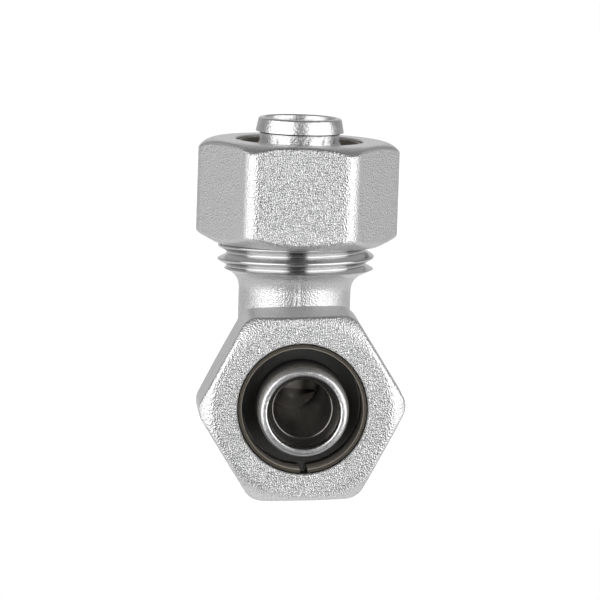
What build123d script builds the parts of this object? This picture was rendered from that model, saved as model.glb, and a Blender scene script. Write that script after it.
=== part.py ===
"""Compression fitting elbow for multilayer pipe: a forged body, two union nuts, split rings and seals.

The origin is where the axes of the two arms cross. The upper arm points along +Z and the front arm
along -Y. Every height along an arm is a distance from that crossing, in millimetres.
"""

import os
from math import radians, tan

from build123d import *

# Pipe that the fitting takes
pipe_diameter = 16.0
pipe_wall = 2.0

# Forged elbow
neck_diameter = 15.0
neck_length = 12.4
flare_length = 2.4
inside_corner_radius = 2.5

# Male thread, drawn at its major diameter
thread_diameter = 20.955
thread_depth = 1.16
thread_runout = 0.6
thread_length = 9.4
thread_end_chamfer = 1.2

# Spigot that enters the pipe
spigot_clearance = 0.1
base_land = 0.7
middle_land = 0.8
outer_land = 0.6
taper_length = 1.05
recess_length = 1.26
recess_depth = 0.55
head_length = 1.89
head_taper = 0.37
head_groove_width = 0.22
head_groove_depth = 0.25
rim_rounding = 0.4

# Waterway, drilled from both ends
waterway_diameter = 7.5
drill_overrun = 1.5
drill_point_angle = 118.0
tip_wall = 0.7
counterbore_margin = 0.1
mouth_taper = 0.15
mouth_taper_length = 0.8

# O-rings and their grooves
o_ring_cord = 1.2
o_ring_squeeze = 0.2
groove_side_play = 0.2
groove_floor_play = 0.02

# Insulating washer, snapped over the base land into a seat at the root of the spigot
washer_thickness = 1.0
washer_seat_depth = 0.3
washer_play = 0.05
washer_to_ring = 0.3

# Split ring
ring_length = 5.0
ring_grip = 0.1
ring_nose_wall = 0.45
ring_wall = 1.25
ring_recess = 0.3
ring_tail_chamfer = 0.3
ring_overhang = 0.7
slit_width = 1.0

# Union nut
nut_flat_wall = 1.4225
nut_corner_radius = 2.6
nut_lip = 1.5
nut_hole_chamfer = 0.15
nut_cone_angle = 30.0
nut_face_margin = 1.0
nut_dome_radius = 3.0
nut_tail_rim = 0.3
nut_tail_slope = 28.0
nut_edge_rounding = 0.6
thread_clearance = 0.1
thread_entry_chamfer = 0.25
ring_clearance = 0.15
chamber_clearance = 0.2

# How far each nut is screwed on
front_exposed_thread = 2.15
front_ring_gap = 1.25
upper_backed_off = 1.0
front_nut_turn = 2.9
upper_slit_turn = 180.0
front_slit_turn = 272.9

# Radii
neck_radius = neck_diameter / 2
thread_radius = thread_diameter / 2
thread_root_radius = thread_radius - thread_depth
land_radius = pipe_diameter / 2 - pipe_wall - spigot_clearance
groove_radius = land_radius - o_ring_cord + o_ring_squeeze - groove_floor_play
o_ring_radius = land_radius + o_ring_squeeze - o_ring_cord / 2
recess_radius = land_radius - recess_depth
rim_radius = land_radius - head_taper
waterway_radius = waterway_diameter / 2
counterbore_radius = recess_radius - tip_wall
ring_bore_radius = pipe_diameter / 2 - ring_grip
ring_nose_radius = ring_bore_radius + ring_nose_wall
ring_radius = ring_bore_radius + ring_wall
washer_radius = ring_bore_radius - washer_to_ring
washer_seat_radius = land_radius - washer_seat_depth
nut_hole_radius = ring_nose_radius + ring_clearance
nut_chamber_radius = ring_radius + chamber_clearance
nut_bore_radius = thread_radius + thread_clearance
nut_flat_radius = nut_bore_radius + nut_flat_wall
nut_face_radius = nut_flat_radius - nut_face_margin
nut_turning_radius = nut_face_radius + nut_dome_radius

# Heights along an arm, from the crossing outwards
flare_end = neck_length + flare_length
thread_start = flare_end + thread_runout
end_face = thread_start + thread_length
groove_width = o_ring_cord + 2 * groove_side_play
base_land_start = end_face + washer_thickness + washer_play
inner_groove = base_land_start + base_land
outer_groove = inner_groove + groove_width + middle_land
outer_groove_end = outer_groove + groove_width
taper_start = outer_groove_end + outer_land
recess_start = taper_start + taper_length
head_start = recess_start + recess_length
spigot_end = head_start + head_length
counterbore_floor = outer_groove_end + counterbore_margin
drill_point_length = waterway_radius / tan(radians(drill_point_angle / 2))

# The front nut's outer face follows from the ring inside it, and both nuts have its height
front_nut_face = end_face + front_ring_gap + ring_length + ring_recess
nut_height = front_nut_face - thread_start - front_exposed_thread
upper_nut_face = front_nut_face + upper_backed_off

# Each arm: its direction, its nut's outer face, the nut's turn and the place of its ring's slit
arms = {
    "upper": (Vector(0, 0, 1), upper_nut_face, 0.0, upper_slit_turn),
    "front": (Vector(0, -1, 0), front_nut_face, front_nut_turn, front_slit_turn),
}


def half_section(direction):
    """Plane through an arm's axis: local x is the radius, local y the height along the arm."""
    side = Vector(1, 0, 0)
    return Plane(origin=(0, 0, 0), x_dir=side, z_dir=side.cross(direction))


def across(direction, height):
    """Plane square to an arm at a height."""
    return Plane(origin=direction * height, x_dir=(1, 0, 0), z_dir=direction)


def export(builder, name):
    builder.part.label = name
    export_step(builder.part, f"parts/{name}.step")


os.makedirs("parts", exist_ok=True)

# Forged body: two arms and the ball that joins them at the corner, then the drilled waterway
with BuildPart() as elbow_body:
    for direction, _, _, _ in arms.values():
        with BuildSketch(half_section(direction)):
            with BuildLine():
                Polyline((0, 0), (neck_radius, 0), (neck_radius, neck_length))
                TangentArc((neck_radius, neck_length), (thread_root_radius, flare_end), tangent=(0, 1))
                Polyline(
                    (thread_root_radius, flare_end),
                    (thread_radius, thread_start),
                    (thread_radius, end_face - thread_end_chamfer),
                    (thread_radius - thread_end_chamfer, end_face),
                    (washer_seat_radius, end_face),
                    (washer_seat_radius, base_land_start),
                    (land_radius, base_land_start),
                    (land_radius, inner_groove),
                    (groove_radius, inner_groove),
                    (groove_radius, inner_groove + groove_width),
                    (land_radius, inner_groove + groove_width),
                    (land_radius, outer_groove),
                    (groove_radius, outer_groove),
                    (groove_radius, outer_groove_end),
                    (land_radius, outer_groove_end),
                    (land_radius, taper_start),
                    (recess_radius, recess_start),
                    (recess_radius, head_start - head_groove_width),
                    (recess_radius - head_groove_depth, head_start - head_groove_width),
                    (recess_radius - head_groove_depth, head_start),
                    (land_radius, head_start),
                    (rim_radius, spigot_end),
                    (0, spigot_end),
                    (0, 0),
                )
            make_face()
        revolve(axis=Axis((0, 0, 0), direction))
    Sphere(neck_radius)
    inside_corner = elbow_body.edges().filter_by(GeomType.ELLIPSE)
    fillet(inside_corner, inside_corner_radius)
    rims = [across(direction, spigot_end) for direction, _, _, _ in arms.values()]
    for rim in rims:
        fillet(elbow_body.faces().sort_by(Axis(rim.origin, rim.z_dir))[-1].edges(), rim_rounding)
    for direction, _, _, _ in arms.values():
        with BuildSketch(half_section(direction)):
            with BuildLine():
                Polyline(
                    (0, -drill_overrun - drill_point_length),
                    (waterway_radius, -drill_overrun),
                    (waterway_radius, counterbore_floor),
                    (counterbore_radius, counterbore_floor),
                    (counterbore_radius, spigot_end - mouth_taper_length),
                    (counterbore_radius + mouth_taper, spigot_end),
                    (0, spigot_end),
                    close=True,
                )
            make_face()
        revolve(axis=Axis((0, 0, 0), direction), mode=Mode.SUBTRACT)
export(elbow_body, "elbow_body")

for arm, (direction, nut_face, nut_turn, slit_turn) in arms.items():
    section = half_section(direction)
    arm_axis = Axis((0, 0, 0), direction)

    # Union nut: a hexagon with rounded corners, turned at both ends and bored in one section
    nut_tail = nut_face - nut_height
    nut_cone_length = (nut_chamber_radius - nut_hole_radius) / tan(radians(nut_cone_angle))
    nut_step = nut_face - ring_recess - ring_length + ring_overhang
    nut_tail_radius = nut_bore_radius + thread_entry_chamfer + nut_tail_rim
    tail_rise = (nut_turning_radius - nut_tail_radius) * tan(radians(nut_tail_slope))
    with BuildPart() as nut:
        with BuildSketch(across(direction, nut_tail)):
            RegularPolygon(nut_flat_radius, 6, major_radius=False, rotation=nut_turn)
            fillet(vertices(), nut_corner_radius)
        extrude(amount=nut_height)
        with BuildSketch(section):
            with BuildLine():
                Polyline(
                    (nut_face_radius, nut_face),
                    (nut_hole_radius + nut_hole_chamfer, nut_face),
                    (nut_hole_radius, nut_face - nut_hole_chamfer),
                    (nut_hole_radius, nut_face - nut_lip),
                    (nut_chamber_radius, nut_face - nut_lip - nut_cone_length),
                    (nut_chamber_radius, nut_step),
                    (nut_bore_radius, nut_step),
                    (nut_bore_radius, nut_tail + thread_entry_chamfer),
                    (nut_bore_radius + thread_entry_chamfer, nut_tail),
                    (nut_tail_radius, nut_tail),
                    (nut_turning_radius, nut_tail + tail_rise),
                    (nut_turning_radius, nut_face - nut_dome_radius),
                )
                TangentArc(
                    (nut_turning_radius, nut_face - nut_dome_radius),
                    (nut_face_radius, nut_face),
                    tangent=(0, 1),
                )
            make_face()
        revolve(axis=arm_axis, mode=Mode.INTERSECT)
        turned_edges = nut.edges().filter_by(GeomType.HYPERBOLA) + nut.edges().filter_by(GeomType.BSPLINE)
        fillet(turned_edges, nut_edge_rounding)
    export(nut, f"{arm}_nut")

    # Split ring: a nose that shows in the nut's hole, a cone that the nut presses on, and an axial slit
    ring_nose = nut_face - ring_recess
    ring_tail = ring_nose - ring_length
    ring_cone_start = nut_face - nut_lip
    ring_cone_length = (ring_radius - ring_nose_radius) / tan(radians(nut_cone_angle))
    with BuildPart() as split_ring:
        with BuildSketch(section):
            with BuildLine():
                Polyline(
                    (ring_bore_radius, ring_nose),
                    (ring_nose_radius, ring_nose),
                    (ring_nose_radius, ring_cone_start),
                    (ring_radius, ring_cone_start - ring_cone_length),
                    (ring_radius, ring_tail + ring_tail_chamfer),
                    (ring_radius - ring_tail_chamfer, ring_tail),
                    (ring_bore_radius, ring_tail),
                    close=True,
                )
            make_face()
        revolve(axis=arm_axis)
        with BuildSketch(across(direction, ring_tail)):
            with PolarLocations(ring_bore_radius + ring_wall / 2, 1, start_angle=slit_turn):
                Rectangle(2 * ring_wall, slit_width)
        extrude(amount=ring_length, mode=Mode.SUBTRACT)
    export(split_ring, f"{arm}_split_ring")

    # O-rings, centred in their grooves
    for place, groove in (("inner", inner_groove), ("outer", outer_groove)):
        with BuildPart() as o_ring:
            with BuildSketch(section):
                with Locations((o_ring_radius, groove + groove_width / 2)):
                    Circle(o_ring_cord / 2)
            revolve(axis=arm_axis)
        export(o_ring, f"{arm}_{place}_o_ring")

    # Insulating washer, flat on the end face
    with BuildPart() as washer:
        with BuildSketch(across(direction, end_face)):
            Circle(washer_radius)
            Circle(washer_seat_radius + washer_play, mode=Mode.SUBTRACT)
        extrude(amount=washer_thickness)
    export(washer, f"{arm}_insulating_washer")

print(f"spigot end {spigot_end:.2f}, end face {end_face:.2f}, nut height {nut_height:.2f}")
print(f"nut faces: upper {upper_nut_face:.2f}, front {front_nut_face:.2f}")
print(f"across flats {2 * nut_flat_radius:.3f}, land radius {land_radius:.2f}")
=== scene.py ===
# %% [markdown]
# # A compression fitting elbow in nickel-plated brass
#
# The fitting joins two plastic-and-aluminium pipes at a right angle. A forged elbow carries a male
# thread and a spigot on each arm. A hexagonal union nut pulls a split ring onto the pipe.
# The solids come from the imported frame, in metres. This script gives them their threads and finishes.

# %% Load the frame
from math import cos, pi, radians, sin

import bmesh
import bpy
from mathutils import Euler, Matrix, Vector


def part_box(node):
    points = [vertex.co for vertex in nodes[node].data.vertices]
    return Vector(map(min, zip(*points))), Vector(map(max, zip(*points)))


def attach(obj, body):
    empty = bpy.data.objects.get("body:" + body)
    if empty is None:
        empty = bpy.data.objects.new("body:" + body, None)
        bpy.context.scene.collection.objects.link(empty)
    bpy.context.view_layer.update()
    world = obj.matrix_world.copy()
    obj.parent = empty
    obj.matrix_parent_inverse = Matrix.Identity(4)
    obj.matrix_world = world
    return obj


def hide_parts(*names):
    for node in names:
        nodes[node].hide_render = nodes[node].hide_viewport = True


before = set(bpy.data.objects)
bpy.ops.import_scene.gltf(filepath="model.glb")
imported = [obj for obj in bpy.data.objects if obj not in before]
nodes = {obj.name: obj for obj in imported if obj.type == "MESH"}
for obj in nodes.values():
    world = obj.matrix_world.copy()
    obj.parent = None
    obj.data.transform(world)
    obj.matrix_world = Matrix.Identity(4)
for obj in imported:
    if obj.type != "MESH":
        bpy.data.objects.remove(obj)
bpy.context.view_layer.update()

MM = 0.001
scene = bpy.context.scene
print("CAD nodes:", len(nodes))

# %% [markdown]
# ## The camera
#
# The photograph was taken with a long lens, from a little above the front nut and almost straight on.
# A camera can be aimed with a Track To constraint, but three small angles say the same thing: the object
# is turned about Z, tipped towards the lens and rolled, and then the camera stands straight in front.
# The inverse of that turn places the camera and leaves the object where it is.

# %% Camera at the photograph's angle
object_turn = radians(2.886)
object_tip = radians(6.174)
object_roll = radians(1.894)
camera_distance = 962.1 * MM
camera_side = 1.127 * MM
camera_rise = 10.754 * MM
camera_near = 0.05
camera_far = 20.0
focal_length_mm = 431.04
sensor_mm = 36.0

turn = Matrix.Rotation(object_turn, 3, "Z")
tip = Matrix.Rotation(object_tip, 3, "X")
roll = Matrix.Rotation(object_roll, 3, "Y")
to_object = (roll @ tip @ turn).transposed()

camera_data = bpy.data.cameras.new("camera")
camera_data.sensor_width = sensor_mm
camera_data.lens = focal_length_mm
camera_data.clip_start = camera_near
camera_data.clip_end = camera_far
camera = bpy.data.objects.new("camera", camera_data)
scene.collection.objects.link(camera)
looking_along_y = Matrix.Rotation(pi / 2, 3, "X")
camera.matrix_world = Matrix.Translation(
    to_object @ Vector((camera_side, -camera_distance, camera_rise))
) @ (to_object @ looking_along_y).to_4x4()
scene.camera = camera
print("camera at", [round(x / MM, 1) for x in camera.location], "mm")

# %% [markdown]
# ## Sizes read from the frame
#
# The thread belongs where the solid has its largest turned diameter. Those heights are measured on the
# solid's own points, so the thread follows if the part is made in another size.

# %% Measure the turned end of the upper arm
tolerance = 0.001 * MM


def radius_from_z(point):
    return (point.x ** 2 + point.y ** 2) ** 0.5


washer_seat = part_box("upper_insulating_washer")[0].z
arm_start = washer_seat / 2
arm_points = [v.co.copy() for v in nodes["elbow_body"].data.vertices if v.co.z > arm_start]
thread_radius = max(radius_from_z(p) for p in arm_points)
on_thread = [p.z for p in arm_points if radius_from_z(p) > thread_radius - tolerance]
thread_start = min(on_thread)
print(f"thread radius {thread_radius / MM:.3f} mm")
print(f"thread from {thread_start / MM:.2f} to {max(on_thread) / MM:.2f} mm along the arm")

# %% [markdown]
# ## The pipe thread
#
# A parallel pipe thread of 14 turns to the inch has flanks at 55 degrees, and its crests and roots are
# rounded. A real one is cut by a die: a ring with the thread on its inner wall. Here the die is a mesh too.
# Four short arcs and two flanks make one pitch. The radius of the arcs and the depth are fixed shares of
# the pitch in every thread of this kind.

# %% One pitch of the thread's outline
inch = 25.4 * MM
threads_per_inch = 14
pitch = inch / threads_per_inch
flank_angle = radians(27.5)
rounding = 0.137329 * pitch
thread_depth = 0.640327 * pitch
arc_steps = 4


def thread_outline(crest_radius):
    """Points (radius, height) of one pitch, from the middle of one root to the middle of the next."""
    root_radius = crest_radius - thread_depth
    sweep = pi / 2 - flank_angle
    angles = [sweep * step / arc_steps for step in range(arc_steps + 1)]
    root = [
        (root_radius + rounding * (1 - cos(a)), -pitch / 2 + rounding * sin(a))
        for a in angles
    ]
    crest = [
        (crest_radius - rounding * (1 - cos(a)), -rounding * sin(a))
        for a in reversed(angles)
    ]
    rising = root + crest
    falling = [(r, -h) for r, h in reversed(rising)]
    return rising + falling[1:]


print("pitch", round(pitch / MM, 4), "mm,", len(thread_outline(thread_radius)), "points a pitch")

# %% [markdown]
# ## The die
#
# Spin turns the outline once round the axis while it climbs by one pitch. A spin that climbs does not meet
# its own start, so it is not merged there: copies stand on each other, a pitch apart, and their doubles are
# merged. Two planes trim the helix, Extrude pulls its ends out to a larger radius, and Bridge closes the
# outer wall between them. The Boolean that uses the die needs such a closed shape.

# %% Wind the outline into a helix
steps_per_turn = 96
# On the side +X a crest stands this part of a pitch above the crossing of the arms, as in the photograph.
crest_phase = 0.404


def everything(bm):
    return bm.verts[:] + bm.edges[:] + bm.faces[:]


def only_points(geometry):
    return [part for part in geometry if isinstance(part, bmesh.types.BMVert)]


def helix(crest_radius, first_turn, turns):
    """An open wall that winds about Z, as a bmesh."""
    bm = bmesh.new()
    base = (first_turn + crest_phase) * pitch
    line = [bm.verts.new((r, 0.0, base + h)) for r, h in thread_outline(crest_radius)]
    edges = [bm.edges.new(pair) for pair in zip(line, line[1:])]
    bmesh.ops.spin(
        bm,
        geom=line + edges,
        axis=(0, 0, 1),
        cent=(0, 0, 0),
        dvec=(0, 0, pitch / steps_per_turn),
        angle=2 * pi,
        steps=steps_per_turn,
    )
    one_turn = everything(bm)
    for count in range(1, turns):
        copied = bmesh.ops.duplicate(bm, geom=one_turn)["geom"]
        bmesh.ops.translate(bm, verts=only_points(copied), vec=(0, 0, count * pitch))
    bmesh.ops.remove_doubles(bm, verts=bm.verts[:], dist=tolerance)
    return bm


print(f"the helix climbs {pitch / steps_per_turn / MM:.4f} mm a step, with {steps_per_turn} steps a turn")

# %% Close the helix to a ring with the thread on its inner wall
# Turns past each end, for the planes to trim.
spare_turns = 2


def thread_die(crest_radius, outer_radius, bottom, top):
    """A closed ring about Z with the thread on its inner wall, as a bmesh."""
    turns = int((top - bottom) / pitch) + 2 * spare_turns + 1
    bm = helix(crest_radius, int(bottom / pitch) - spare_turns, turns)
    for height, up in ((bottom, -1), (top, 1)):
        bmesh.ops.bisect_plane(
            bm,
            geom=everything(bm),
            plane_co=(0, 0, height),
            plane_no=(0, 0, up),
            clear_outer=True,
        )
    ends = [e for e in bm.edges if e.is_boundary]
    for point in only_points(bmesh.ops.extrude_edge_only(bm, edges=ends)["geom"]):
        point.co.xy *= outer_radius / point.co.xy.length
    rims = [e for e in bm.edges if e.is_boundary]
    bmesh.ops.bridge_loops(bm, edges=rims)
    bmesh.ops.recalc_face_normals(bm, faces=bm.faces[:])
    return bm


# %% [markdown]
# ## The threaded elbow
#
# The elbow is one brass forging. Its ends are turned and threaded afterwards, so the corner keeps the
# sand-like skin of the blasting, and the ends are bright. The solid's mesh is loose triangles, so a copy has
# its doubles merged. A Boolean takes a die away from each arm, and the thread fades out on the chamfer
# by itself. Objects stay at the origin and their meshes hold their place, so that patterns do not slide.

# %% A merged copy of the forging
merge_distance = 0.0005 * MM


def as_object(bm, name, matrix=Matrix.Identity(4)):
    """Turns a bmesh into an object at the origin, with its place in its mesh."""
    bm.transform(matrix)
    mesh = bpy.data.meshes.new(name)
    bm.to_mesh(mesh)
    bm.free()
    made = bpy.data.objects.new(name, mesh)
    scene.collection.objects.link(made)
    return made


def merged_copy(node, name):
    bm = bmesh.new()
    bm.from_mesh(nodes[node].data)
    bmesh.ops.remove_doubles(bm, verts=bm.verts[:], dist=merge_distance)
    return as_object(bm, name)


elbow = merged_copy("elbow_body", "threaded_elbow")
print("copy of the forging:", len(elbow.data.vertices), "points")

# %% Cut the threads into the copy
arm_turns = {
    "upper": Matrix.Identity(4),
    "front": Matrix.Rotation(pi / 2, 4, "X"),
}
# The die takes a hair off the crests too, and it reaches past both ends of the thread.
crest_cut = 0.02 * MM
die_wall = 1.5 * MM
die_lead = 0.7 * MM


def cut_away(piece, tool):
    """Takes a tool's shape out of a piece and removes the tool."""
    cut = piece.modifiers.new("cut", "BOOLEAN")
    cut.operation = "DIFFERENCE"
    cut.solver = "MANIFOLD"
    cut.object = tool
    bpy.context.view_layer.update()
    depsgraph = bpy.context.evaluated_depsgraph_get()
    result = bpy.data.meshes.new_from_object(piece.evaluated_get(depsgraph))
    piece.modifiers.clear()
    piece.data = result
    bpy.data.objects.remove(tool)


for arm, matrix in arm_turns.items():
    die = thread_die(
        thread_radius - crest_cut,
        thread_radius + die_wall,
        thread_start - die_lead,
        washer_seat + die_lead / 2,
    )
    cut_away(elbow, as_object(die, f"{arm}_die", matrix))
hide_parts("elbow_body")
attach(elbow, "elbow")
print("threaded elbow:", len(elbow.data.polygons), "faces")

# %% [markdown]
# ## Smooth skin and sharp edges
#
# Flat triangles show on a round neck, and smooth shading alone rounds off a turned step. Shade Smooth by
# Angle does both in the editor. Here each edge is marked: it is sharp if its two faces turn by more than
# 28 degrees. The arcs of the thread turn by less than that from face to face, and most turned steps by more.

# %% Smooth the faces and keep the real edges sharp
sharp_angle = radians(28)


def shade_by_angle(piece):
    bm = bmesh.new()
    bm.from_mesh(piece.data)
    bmesh.ops.remove_doubles(bm, verts=bm.verts[:], dist=merge_distance)
    for face in bm.faces:
        face.smooth = True
    for edge in bm.edges:
        edge.smooth = edge.is_manifold and edge.calc_face_angle(0.0) < sharp_angle
    open_edges = sum(not e.is_manifold for e in bm.edges)
    bm.to_mesh(piece.data)
    bm.free()
    return open_edges


print("open edges on the elbow:", shade_by_angle(elbow))

# %% [markdown]
# ## Broken edges in the waterway
#
# A drill leaves sharp edges, and they are broken before plating. The rounding is only a little over a tenth
# of a millimetre, but it catches the lamps as a bright ring round the mouth. Bevel makes it on every sharp
# edge that stands out into the waterway and runs round it at one height.

# %% Bevel the rings of edges in the waterway
edge_break = 0.15 * MM
# The seal grooves reach in to this radius, and the waterway lies within it.
groove_floor = 4.82 * MM
# Only corners that stand out by more than this are broken.
corner_angle = radians(60)


def on_arm(point):
    """Whether a point is on the upper arm, its height along its arm and its distance from the axis."""
    upper = point.z > -point.y
    along, aside = (point.z, point.y) if upper else (-point.y, point.z)
    return upper, along, (point.x ** 2 + aside ** 2) ** 0.5


def rings_the_waterway(edge):
    (_, start, start_radius), (_, end, end_radius) = [on_arm(v.co) for v in edge.verts]
    level = abs(start - end) < tolerance
    inside = max(start_radius, end_radius) < groove_floor
    return level and inside and edge.calc_face_angle_signed(0.0) > corner_angle


bm = bmesh.new()
bm.from_mesh(elbow.data)
mouth_edges = [e for e in bm.edges if rings_the_waterway(e)]
broken = bmesh.ops.bevel(
    bm,
    geom=mouth_edges,
    offset=edge_break,
    affect="EDGES",
    segments=2,
    profile=0.5,
    material=-1,
)
rounded_faces = set(broken["faces"])
for edge in bm.edges:
    if sum(face in rounded_faces for face in edge.link_faces) == 1:
        edge.smooth = False
bm.to_mesh(elbow.data)
bm.free()
print("bevelled", len(mouth_edges), "edges in the waterway")

# %% [markdown]
# ## Even shading on the forging
#
# The solid's triangles are long and thin where the two arms meet, and a smooth shade that counts each corner
# of a face draws a dark line there. Weighted Normal counts each face by its area. A vertex group
# keeps it to the forged skin, because the small arcs of the thread need their own shading.

# %% Weight the forged skin's normals by area
turned_flare = 0.6 * MM
forged_end = thread_start - turned_flare
forged_skin = elbow.vertex_groups.new(name="forged_skin")
forged_points = [v.index for v in elbow.data.vertices if on_arm(v.co)[1] < forged_end]
forged_skin.add(forged_points, 1.0, "REPLACE")
weighted = elbow.modifiers.new("weighted_normals", "WEIGHTED_NORMAL")
weighted.keep_sharp = True
weighted.vertex_group = forged_skin.name
print("forged skin:", len(forged_points), "of", len(elbow.data.vertices), "points")

# %% [markdown]
# ## The threads inside the nuts
#
# Each nut runs on the same helix, so its inner thread is a second die with a little running clearance,
# left standing in the nut's bore. It turns with the nut, and because nut and elbow share the pitch and the
# phase, the two threads stay in step wherever the nut stands.

# %% Inner threads of the union nuts
running_clearance = 0.07 * MM
bore_overlap = 0.08 * MM
entry = 0.3 * MM

nut_middle = (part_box("upper_nut")[0].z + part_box("upper_split_ring")[0].z) / 2
nut_bore_radius = min(
    radius_from_z(v.co) for v in nodes["upper_nut"].data.vertices if v.co.z < nut_middle
)
for arm, matrix in arm_turns.items():
    low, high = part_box(f"{arm}_nut")
    tail = low.z if arm == "upper" else -high.y
    ring_low, ring_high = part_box(f"{arm}_split_ring")
    ring_tail = ring_low.z if arm == "upper" else -ring_high.y
    sleeve = thread_die(
        thread_radius + running_clearance,
        nut_bore_radius + bore_overlap,
        tail + entry,
        ring_tail + entry,
    )
    inner_thread = as_object(sleeve, f"{arm}_nut_thread", matrix)
    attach(inner_thread, f"{arm}_union")
    shade_by_angle(inner_thread)
    print(arm, "nut thread:", len(inner_thread.data.polygons), "faces, tail at", round(tail / MM, 2))

# %% [markdown]
# ## Making materials from nodes
#
# A colour is given as an sRGB hex value, and shaders work in linear light, so one function converts.
# Another adds a node, sets its properties and links its sockets. Every pattern reads Object coordinates in
# metres, so a grain of a tenth of a millimetre has a scale of one over that size.

# %% Helpers for materials
def linear(hex_colour):
    channels = [int(hex_colour[i:i + 2], 16) / 255 for i in (1, 3, 5)]
    return (*[c / 12.92 if c <= 0.04045 else ((c + 0.055) / 1.055) ** 2.4 for c in channels], 1.0)


def add_node(tree, kind, inputs=None, **settings):
    """Adds a node. An input is a value, or another node's socket to link."""
    node = tree.nodes.new(kind)
    for name, value in settings.items():
        setattr(node, name, value)
    for socket, value in (inputs or {}).items():
        if isinstance(value, bpy.types.NodeSocket):
            tree.links.new(value, node.inputs[socket])
        else:
            node.inputs[socket].default_value = value
    return node


def start_material(name):
    material = bpy.data.materials.new(name)
    material.use_nodes = True
    material.node_tree.nodes.clear()
    return material, material.node_tree


def wear(piece, *materials):
    """Gives a piece these materials and no others."""
    piece.data.materials.clear()
    for material in materials:
        piece.data.materials.append(material)


print("white in linear light:", linear("#ffffff"))

# %% [markdown]
# ## Grit-blasted nickel
#
# The forgings are blasted with fine grit and then nickel plated. Each dent is a tiny curved mirror, so
# the skin sparkles where it faces the lamps and goes satin where it turns away. That look needs slopes, not
# colour, and a paint with a speckle in it would look the same from every side. Voronoi gives the craters:
# its distance is a field of little cones. Their bottoms get a painted shade: a darker colour, because they
# see less of the room.
# Two forging dies meet in the plane of the two arms, and the elbow keeps a low seam there.

# %% Sizes and colours of the blasted skin
nickel = linear("#d8d8d8")
# Real dents are about a tenth of a millimetre, under a pixel, so they are drawn twice as wide.
dent_width = 0.21 * MM
dent_depth = 0.056 * MM
# The Voronoi distance is this low at the bottom of a dent and this high at its rim.
dent_bottom = 0.1
dent_rim = 0.45
# Painted shade: the colour at the bottom of each dent, darker for the light it misses.
painted_shade_nickel = linear("#b8b8b8")
# Patches that took a little more grit than others are several dents wide and only slightly duller.
patch_width = 1.6 * MM
patch_low = 0.3
patch_high = 0.7
bright_patch = 0.28
dull_patch = 0.31
# The seam is a low ridge on the plane X = 0. Its top and its foot end this far from the plane.
seam_top = 0.02 * MM
seam_foot = 0.5 * MM
seam_height = 0.09 * MM
print("blasted skin:", round(MM / dent_width, 1), "dents to the millimetre")


# %% Nickel over a blasted forging
def blasted_metal(name, seam):
    """Blasted nickel, with or without the seam of the forging dies on the plane X = 0."""
    material, tree = start_material(name)
    place = add_node(tree, "ShaderNodeTexCoord")
    dents = add_node(tree, "ShaderNodeTexVoronoi", {
        "Vector": place.outputs["Object"], "Scale": 1 / dent_width,
    })
    patches = add_node(tree, "ShaderNodeTexNoise", {
        "Vector": place.outputs["Object"], "Scale": 1 / patch_width, "Detail": 3.0,
    })
    gloss = add_node(tree, "ShaderNodeMapRange", {
        "Value": patches.outputs["Fac"], "From Min": patch_low, "From Max": patch_high,
        "To Min": bright_patch, "To Max": dull_patch,
    })
    shade = add_node(tree, "ShaderNodeValToRGB", {"Fac": dents.outputs["Distance"]})
    bottom, rim = shade.color_ramp.elements
    bottom.position = dent_bottom
    bottom.color = painted_shade_nickel
    rim.position = dent_rim
    rim.color = nickel
    skin = add_node(tree, "ShaderNodeBump", {
        "Height": dents.outputs["Distance"], "Distance": dent_depth, "Strength": 1.0,
    })
    if seam:
        parts = add_node(tree, "ShaderNodeSeparateXYZ", {"Vector": place.outputs["Object"]})
        aside = add_node(tree, "ShaderNodeMath", {0: parts.outputs["X"]}, operation="ABSOLUTE")
        ridge = add_node(tree, "ShaderNodeMapRange", {
            "Value": aside.outputs["Value"], "From Min": seam_foot, "From Max": seam_top,
        }, interpolation_type="SMOOTHSTEP")
        raised = add_node(tree, "ShaderNodeBump", {
            "Height": ridge.outputs["Result"], "Distance": seam_height, "Strength": 1.0,
        })
        tree.links.new(raised.outputs["Normal"], skin.inputs["Normal"])
    surface = add_node(tree, "ShaderNodeBsdfPrincipled", {
        "Base Color": shade.outputs["Color"], "Metallic": 1.0, "Roughness": gloss.outputs["Result"],
        "Normal": skin.outputs["Normal"],
    })
    add_node(tree, "ShaderNodeOutputMaterial", {"Surface": surface.outputs["BSDF"]})
    return material


# To the eye, both are a satin grey with a fine sparkle, and the elbow has a light line down its middle.
blasted_nut = blasted_metal("nickel_plate_grit_blasted", seam=False)
blasted_elbow = blasted_metal("nickel_plate_grit_blasted_forging_seam", seam=True)
print("blasted finishes:", blasted_nut.name, blasted_elbow.name)

# %% [markdown]
# ## Turned metal
#
# Threads, spigots, bores and split rings come off a lathe, whose tool leaves fine rings. On a cylinder the
# rings follow one another along the axis, on a flat end along the radius, so a one-dimensional noise reads
# the sum of the two. A faint grain over it keeps the plate from looking like a mirror. A split ring's inner
# wall grips the pipe and is left rough, so there a Mix goes over to a duller plate, which is also painted
# paler as painted light falling into the nut's mouth.

# %% One turned finish, for an axis along Z or Y
tool_mark = 0.07 * MM
grain = 0.28 * MM
rough_wall = 0.8
# Painted light: the split ring's inner wall is paler, for the light that falls into the nut's mouth.
painted_light_wall_plate = linear("#b4aea4")
across_axis = {"Z": (1.0, 1.0, 0.0), "Y": (1.0, 0.0, 1.0)}


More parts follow.
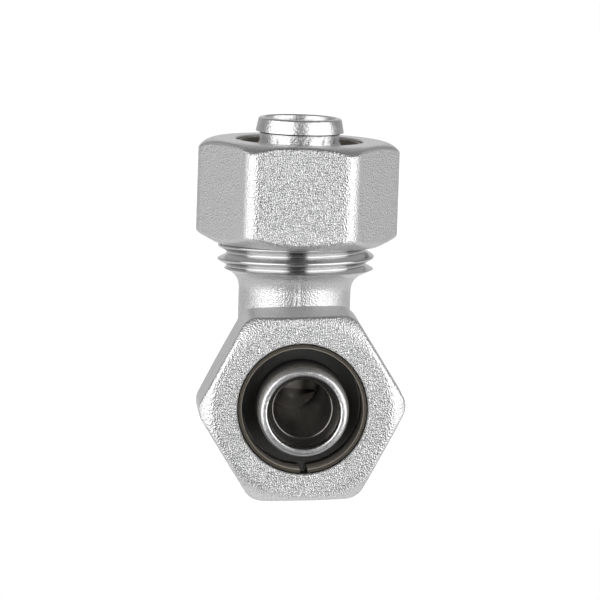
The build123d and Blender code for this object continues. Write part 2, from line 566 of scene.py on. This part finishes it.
def turned_metal(name, axis, colour, roughness, mark_depth, grain_depth, rough_and_painted_light_within=None):
    """Metal with tool marks round the axis Z or Y, left rough and painted paler within a radius if one is
    given.
    """
    material, tree = start_material(name)
    place = add_node(tree, "ShaderNodeTexCoord")
    parts = add_node(tree, "ShaderNodeSeparateXYZ", {"Vector": place.outputs["Object"]})
    across = add_node(tree, "ShaderNodeVectorMath", {
        0: place.outputs["Object"], 1: across_axis[axis],
    }, operation="MULTIPLY")
    radius = add_node(tree, "ShaderNodeVectorMath", {0: across.outputs["Vector"]}, operation="LENGTH")
    way = add_node(tree, "ShaderNodeMath", {
        0: parts.outputs[axis], 1: radius.outputs["Value"],
    }, operation="ADD")
    marks = add_node(tree, "ShaderNodeTexNoise", {
        "W": way.outputs["Value"], "Scale": 1 / tool_mark, "Detail": 2.0,
    }, noise_dimensions="1D")
    grains = add_node(tree, "ShaderNodeTexNoise", {
        "Vector": place.outputs["Object"], "Scale": 1 / grain, "Detail": 2.0,
    })
    cut = add_node(tree, "ShaderNodeBump", {
        "Height": marks.outputs["Fac"], "Distance": mark_depth, "Strength": 1.0,
    })
    skin = add_node(tree, "ShaderNodeBump", {
        "Height": grains.outputs["Fac"], "Distance": grain_depth, "Strength": 1.0,
        "Normal": cut.outputs["Normal"],
    })
    surface = add_node(tree, "ShaderNodeBsdfPrincipled", {
        "Base Color": colour, "Metallic": 1.0, "Roughness": roughness, "Normal": skin.outputs["Normal"],
    })
    if rough_and_painted_light_within:
        outside = add_node(tree, "ShaderNodeMapRange", {
            "Value": radius.outputs["Value"],
            "From Min": rough_and_painted_light_within, "From Max": rough_and_painted_light_within + tool_mark,
        })
        # A Mix has a pair of inputs for each kind of data: 6 and 7 are its colours, 2 and 3 its numbers.
        paint = add_node(tree, "ShaderNodeMix", {
            "Factor": outside.outputs["Result"], 6: painted_light_wall_plate, 7: colour,
        }, data_type="RGBA")
        gloss = add_node(tree, "ShaderNodeMix", {
            "Factor": outside.outputs["Result"], 2: rough_wall, 3: roughness,
        }, data_type="FLOAT")
        tree.links.new(paint.outputs[2], surface.inputs["Base Color"])
        tree.links.new(gloss.outputs[0], surface.inputs["Roughness"])
    add_node(tree, "ShaderNodeOutputMaterial", {"Surface": surface.outputs["BSDF"]})
    return material


print(f"tool marks every {tool_mark / MM:.2f} mm, grain {grain / MM:.2f} mm")

# %% [markdown]
# ## The turned finishes
#
# The same lathe gives five looks, by how deep the tool bites and how much light reaches the place. A thread
# is cut by a die and comes out smoother than a spigot. The two arms point along Z and Y, and the rings of the
# tool run round each one's own axis, so every finish is made twice.

# %% Five turned finishes on each arm
ring_bore = 7.92 * MM
finishes = {}
for arm, axis in {"upper": "Z", "front": "Y"}.items():
    finishes[arm] = {
        # A die-cut thread: crests that flash white beside dark roots.
        "thread": turned_metal(
            f"nickel_plate_die_cut_{arm}", axis, linear("#c8c8c8"),
            roughness=0.17, mark_depth=0.003 * MM, grain_depth=0.0,
        ),
        # A turned spigot: a soft band of light down its side, broken by a mottle.
        "spigot": turned_metal(
            f"nickel_plate_turned_{arm}", axis, nickel,
            roughness=0.29, mark_depth=0.01 * MM, grain_depth=0.055 * MM,
        ),
        # A bored wall: smooth and in the shade, so it mirrors the dark inside of the fitting. Its plate is
        # painted darker as painted shade.
        "bore": turned_metal(
            f"nickel_plate_bored_painted_shade_{arm}", axis, linear("#a09d98"),
            roughness=0.16, mark_depth=0.003 * MM, grain_depth=0.004 * MM,
        ),
        # A drilled wall: pale and rougher, so it carries light down to the crossing.
        "waterway": turned_metal(
            f"nickel_plate_drilled_{arm}", axis, linear("#dcdad6"),
            roughness=0.3, mark_depth=0.012 * MM, grain_depth=0.004 * MM,
        ),
        # A thinly plated ring: a warm grey band where the brass shows through, painted darker as painted
        # shade for its place deep in the nut.
        "ring": turned_metal(
            f"split_ring_brass_turned_{arm}", axis, linear("#8e877c"),
            roughness=0.28, mark_depth=0.008 * MM, grain_depth=0.004 * MM, rough_and_painted_light_within=ring_bore,
        ),
    }
print("turned finishes:", list(finishes["upper"]))

# %% [markdown]
# ## Seals, washers and painted shade in a groove
#
# The O-rings are moulded in black rubber and the washers in dark grey plastic. They sit deep in the fitting
# and are its darkest places. The thin groove under each spigot's head is painted near black, a painted
# shade that draws a dark line round it. A flat colour would look like paint, so a faint noise roughens all
# three.

# %% Moulded rubber, moulded plastic and the groove's painted shade
def grained(name, colour, roughness, grain_size, grain_depth):
    """A dull material with a fine even grain and no metal in it."""
    material, tree = start_material(name)
    place = add_node(tree, "ShaderNodeTexCoord")
    grains = add_node(tree, "ShaderNodeTexNoise", {
        "Vector": place.outputs["Object"], "Scale": 1 / grain_size, "Detail": 2.0,
    })
    skin = add_node(tree, "ShaderNodeBump", {"Height": grains.outputs["Fac"], "Distance": grain_depth})
    surface = add_node(tree, "ShaderNodeBsdfPrincipled", {
        "Base Color": colour, "Roughness": roughness, "Normal": skin.outputs["Normal"],
    })
    add_node(tree, "ShaderNodeOutputMaterial", {"Surface": surface.outputs["BSDF"]})
    return material


# Moulded rubber: near black, with a soft broad highlight.
rubber = grained(
    "seal_rubber_moulded", linear("#262627"),
    roughness=0.42, grain_size=0.4 * MM, grain_depth=0.004 * MM,
)
# Painted shade in the groove: a dull brown black that gives no highlight.
groove_painted_shade = grained(
    "head_groove_painted_shade", linear("#2a2826"),
    roughness=0.7, grain_size=0.1 * MM, grain_depth=0.01 * MM,
)
# Moulded plastic: an even dark grey, duller than the rubber.
plastic = grained(
    "washer_plastic_moulded", linear("#585858"),
    roughness=0.55, grain_size=0.2 * MM, grain_depth=0.006 * MM,
)
print("dark materials:", rubber.name, groove_painted_shade.name, plastic.name)

# %% [markdown]
# ## Which face has which finish
#
# The elbow is one mesh with several finishes. A face belongs to an arm's machined end if it lies beyond the
# flare. There the thread is outside, the spigot inside it, and the waterway nearer to the axis than the
# bottom of the seal grooves. Everything else keeps the blasted skin. A face's middle is enough to tell.

# %% Heights and radii on the spigot
spigot_end = max(p.z for p in arm_points)
# A radius between the lands of the spigot and the roots of the thread.
spigot_radius = 6.5 * MM
mouth_taper = 0.85 * MM
mouth_start = spigot_end - mouth_taper
head_length = 1.88 * MM
head_start = spigot_end - head_length
head_groove_width = 0.25 * MM
head_groove_start = head_start - head_groove_width
head_groove_edge = 5.3 * MM
# A radius between the drilled waterway and the wider bore that ends at the mouth.
step_radius = 4.2 * MM
step_height = max(p.z for p in arm_points if radius_from_z(p) < step_radius)
waterway_end = step_height - edge_break
print(f"spigot ends at {spigot_end / MM:.2f} mm, its bore at {step_height / MM:.2f} mm")


# %% Give every face of the elbow its finish
def finish_at(point):
    upper, along, radius = on_arm(point)
    arm = "upper" if upper else "front"
    if groove_floor < radius < head_groove_edge and head_groove_start < along < head_start:
        return "head groove"
    if radius < groove_floor and along < mouth_start:
        return arm, "bore" if along > waterway_end else "waterway"
    if along < forged_end:
        return "forged skin"
    return arm, "spigot" if radius < spigot_radius else "thread"


elbow_finishes = {"forged skin": blasted_elbow}
for arm in arm_turns:
    for finish in ("thread", "spigot", "bore", "waterway"):
        elbow_finishes[arm, finish] = finishes[arm][finish]
# The groove under each spigot's head takes the painted shade.
elbow_finishes["head groove"] = groove_painted_shade
wear(elbow, *elbow_finishes.values())
finish_order = list(elbow_finishes)
for face in elbow.data.polygons:
    face.material_index = finish_order.index(finish_at(face.center))
for number, finish in enumerate(finish_order):
    print(finish, sum(face.material_index == number for face in elbow.data.polygons), "faces")

# %% [markdown]
# ## The other pieces
#
# The nuts are forged and blasted as the elbow is. Their inner threads take the thread's finish, the rings and
# washers their own, and the seals the rubber. These solids have the right shape already, so a new
# material is all that they need.

# %% Give the other pieces their finish
for arm, finish in finishes.items():
    wear(nodes[f"{arm}_nut"], blasted_nut)
    wear(bpy.data.objects[f"{arm}_nut_thread"], finish["thread"])
    wear(nodes[f"{arm}_split_ring"], finish["ring"])
    wear(nodes[f"{arm}_insulating_washer"], plastic)
    for seal in ("inner", "outer"):
        wear(nodes[f"{arm}_{seal}_o_ring"], rubber)
print("dressed the nuts, rings, washers and seals of", len(finishes), "arms")

# %% [markdown]
# ## The floor
#
# The photograph has a white background with no horizon. A wide pale table under the fitting gives the
# same, and takes a soft shadow. It stands low enough for the front nut's corners to turn over it, and it ends
# just in front of the fitting, so that faces towards the camera mirror the dark room and not the table.
# Light Path lifts it to white for the camera, and by a smaller share for reflections. Diffuse rays do not
# see the lift.

# %% A pale table top
floor_height = -13.6 * MM
floor_radius = 3.0
floor_front = -35.0 * MM
bm = bmesh.new()
bmesh.ops.create_circle(bm, cap_ends=True, segments=96, radius=floor_radius)
bmesh.ops.bisect_plane(
    bm,
    geom=everything(bm),
    plane_co=(0, floor_front, 0),
    plane_no=(0, -1, 0),
    clear_outer=True,
)
floor = as_object(bm, "floor", Matrix.Translation((0, 0, floor_height)))
print("table top at", round(floor_height / MM, 1), "mm")

# %% Matt white card on the table
# The lit card and this lift add up to white. Reflections see a share of the lift.
floor_lift = 0.69
mirror_share = 0.4
# Matt card: no highlight and no grain at this distance, so only the shadow is seen on it.
floor_card, tree = start_material("floor_matt_white_card")
seen = add_node(tree, "ShaderNodeLightPath")
direct = add_node(tree, "ShaderNodeMath", {
    0: seen.outputs["Is Camera Ray"], 1: seen.outputs["Is Transmission Ray"],
}, operation="ADD")
shown = add_node(tree, "ShaderNodeMath", {
    0: seen.outputs["Is Glossy Ray"], 1: mirror_share, 2: direct.outputs["Value"],
}, operation="MULTIPLY_ADD", use_clamp=True)
lift = add_node(tree, "ShaderNodeMath", {0: shown.outputs["Value"], 1: floor_lift}, operation="MULTIPLY")
card = add_node(tree, "ShaderNodeBsdfDiffuse", {"Color": linear("#f2f2f2")})
glow = add_node(tree, "ShaderNodeEmission", {"Strength": lift.outputs["Value"]})
both = add_node(tree, "ShaderNodeAddShader", {0: card.outputs["BSDF"], 1: glow.outputs["Emission"]})
add_node(tree, "ShaderNodeOutputMaterial", {"Surface": both.outputs["Shader"]})
wear(floor, floor_card)
print("floor material:", floor_card.name)

# %% [markdown]
# ## The soft boxes
#
# Two wide soft boxes stand left and right of the camera, with a dark gap between them where the camera is.
# That gap is the dark stripe down the middle of every polished cylinder. An area lamp's power is spread over
# its surface, so it is worked out from the brightness that a mirror would see in the box.

# %% Two soft boxes
# Lengths in metres, heights from the crossing of the arms.
box_azimuth = radians(54)
box_distance = 1.0
box_width = 1.56
box_bottom = -0.45
box_top = 0.95
box_radiance = 1.8
for side in (-1, 1):
    lamp = bpy.data.lights.new("softbox", "AREA")
    lamp.shape = "RECTANGLE"
    lamp.size = box_width
    lamp.size_y = box_top - box_bottom
    lamp.energy = box_radiance * pi * lamp.size * lamp.size_y
    box = bpy.data.objects.new("softbox", lamp)
    box.location = (
        side * box_distance * sin(box_azimuth),
        -box_distance * cos(box_azimuth),
        (box_bottom + box_top) / 2,
    )
    box.rotation_euler = Euler((pi / 2, 0, side * box_azimuth))
    box.visible_camera = False
    scene.collection.objects.link(box)
    print("soft box at", [round(x, 2) for x in box.location], "m with", round(lamp.energy, 2), "W")

# %% [markdown]
# ## The room
#
# Metal shows what is round it, so the room has to be there too. It is the world, by direction: pale behind
# the fitting, greyer at the sides and overhead, and dark behind the camera. A Color Ramp over the angle from
# the camera gives the walls. The camera itself sees plain white instead.

# %% Walls and ceiling by direction
room = bpy.data.worlds.new("studio")
scene.world = room
room.use_nodes = True
tree = room.node_tree
tree.nodes.clear()
ray = add_node(tree, "ShaderNodeTexCoord")
towards = add_node(tree, "ShaderNodeSeparateXYZ", {"Vector": ray.outputs["Generated"]})
ahead = add_node(tree, "ShaderNodeMath", {0: towards.outputs["Y"], 1: -1.0}, operation="MULTIPLY")
azimuth = add_node(tree, "ShaderNodeMath", {
    0: towards.outputs["X"], 1: ahead.outputs["Value"],
}, operation="ARCTAN2")
off_camera = add_node(tree, "ShaderNodeMath", {0: azimuth.outputs["Value"]}, operation="ABSOLUTE")
share = add_node(tree, "ShaderNodeMath", {0: off_camera.outputs["Value"], 1: pi}, operation="DIVIDE")
walls = add_node(tree, "ShaderNodeValToRGB", {"Fac": share.outputs["Value"]})
# Share of the half turn from behind the camera to behind the fitting, and the wall's brightness there.
wall_stops = ((0.085, 0.04), (0.11, 0.24), (0.55, 0.22), (0.75, 0.34), (1.0, 0.8))
ramp = walls.color_ramp
while len(ramp.elements) < len(wall_stops):
    ramp.elements.new(0.5)
for stop, (where, grey) in zip(ramp.elements, wall_stops):
    stop.position = where
    stop.color = (grey, grey, grey, 1.0)
# The ceiling starts where the direction's height is 0.45 and is whole at 0.95.
ceiling_edge = 0.45
ceiling_whole = 0.95
ceiling_grey = 0.19
overhead = add_node(tree, "ShaderNodeMapRange", {
    "Value": towards.outputs["Z"], "From Min": ceiling_edge, "From Max": ceiling_whole,
}, interpolation_type="SMOOTHSTEP")
level = add_node(tree, "ShaderNodeMix", {
    "Factor": overhead.outputs["Result"], 2: walls.outputs["Color"], 3: ceiling_grey,
}, data_type="FLOAT")
print("walls in", len(ramp.elements), "steps")

# %% White behind the fitting for the camera
plain_white = 1.0
seen = add_node(tree, "ShaderNodeLightPath")
plain = add_node(tree, "ShaderNodeMath", {
    0: seen.outputs["Is Camera Ray"], 1: seen.outputs["Is Transmission Ray"],
}, operation="ADD", use_clamp=True)
strength = add_node(tree, "ShaderNodeMix", {
    "Factor": plain.outputs["Value"], 2: level.outputs[0], 3: plain_white,
}, data_type="FLOAT")
sky = add_node(tree, "ShaderNodeBackground", {
    "Color": linear("#ffffff"), "Strength": strength.outputs[0],
})
add_node(tree, "ShaderNodeOutputWorld", {"Surface": sky.outputs["Background"]})
scene.view_settings.view_transform = "Standard"
print("world:", room.name, "with", len(tree.nodes), "nodes")
